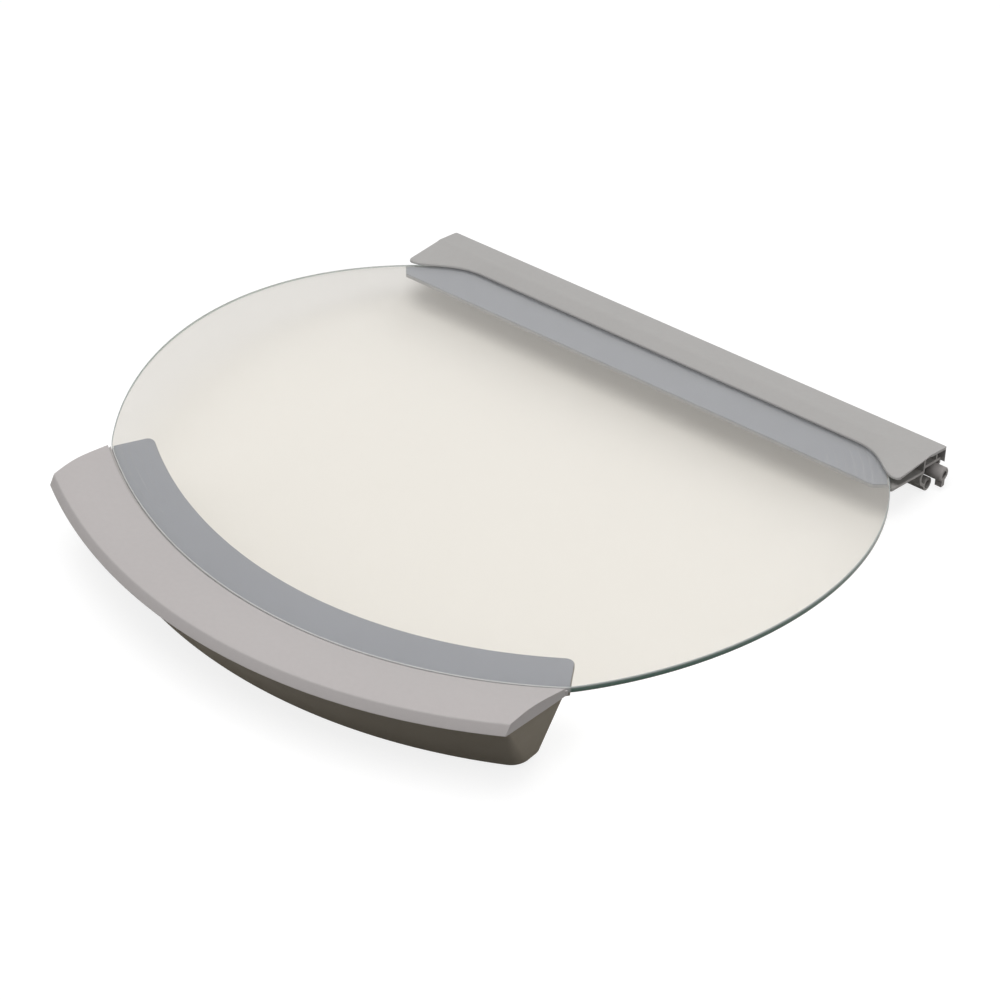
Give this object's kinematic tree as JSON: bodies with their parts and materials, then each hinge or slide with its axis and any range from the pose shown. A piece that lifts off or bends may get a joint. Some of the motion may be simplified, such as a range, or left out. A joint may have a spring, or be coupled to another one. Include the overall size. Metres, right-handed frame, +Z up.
{
  "type": "washing machine lid",
  "caption": "Round bent glass lid for a top-loading washing machine, with a curved moulded handle at the front and a straight hinge bar with keyed pins at the rear.",
  "frame": {"origin": "middle of the lid's outline, on the plane that its bumpers and the foot tube of its hinge bracket rest on", "axes": "+X to the right along the hinge, +Y towards the hinge, +Z up, out of the glass"},
  "size_m": [0.47, 0.445, 0.0561],
  "materials": {
    "glass": "clear tempered glass with a green edge",
    "lip_plastic": "satin light grey",
    "shell_plastic": "satin warm grey",
    "adhesive": "cured adhesive, grey",
    "bumper_rubber": "soft dark rubber",
    "cover_plastic": "satin light grey",
    "bracket_plastic": "satin grey",
    "seal_foam": "closed-cell foam, black",
    "pin_plastic": "satin grey",
    "clip_steel": "plain spring steel",
    "screw_steel": "zinc-plated steel"
  },
  "bodies": {
    "hinge_pins": {"left_pin": "pin_plastic", "right_pin": "pin_plastic", "left_pin_clip": "clip_steel", "right_pin_clip": "clip_steel"},
    "lid": {"glass_panel": "glass", "handle_lip": "lip_plastic", "handle_shell": "shell_plastic", "handle_bond": "adhesive", "left_bumper": "bumper_rubber", "right_bumper": "bumper_rubber", "hinge_cover": "cover_plastic", "hinge_bracket": "bracket_plastic", "hinge_bond": "adhesive", "glass_seal": "seal_foam", "cover_screw_1": "screw_steel", "cover_screw_2": "screw_steel", "cover_screw_3": "screw_steel", "cover_screw_4": "screw_steel", "cover_screw_5": "screw_steel"}
  },
  "joints": [
    {"name": "lid_turn", "type": "hinge", "parent": "hinge_pins", "child": "lid", "pos_m": [0, 0.21208, 0.0126], "axis": [-1, 0, 0], "range_deg": [0, 95]}
  ]
}
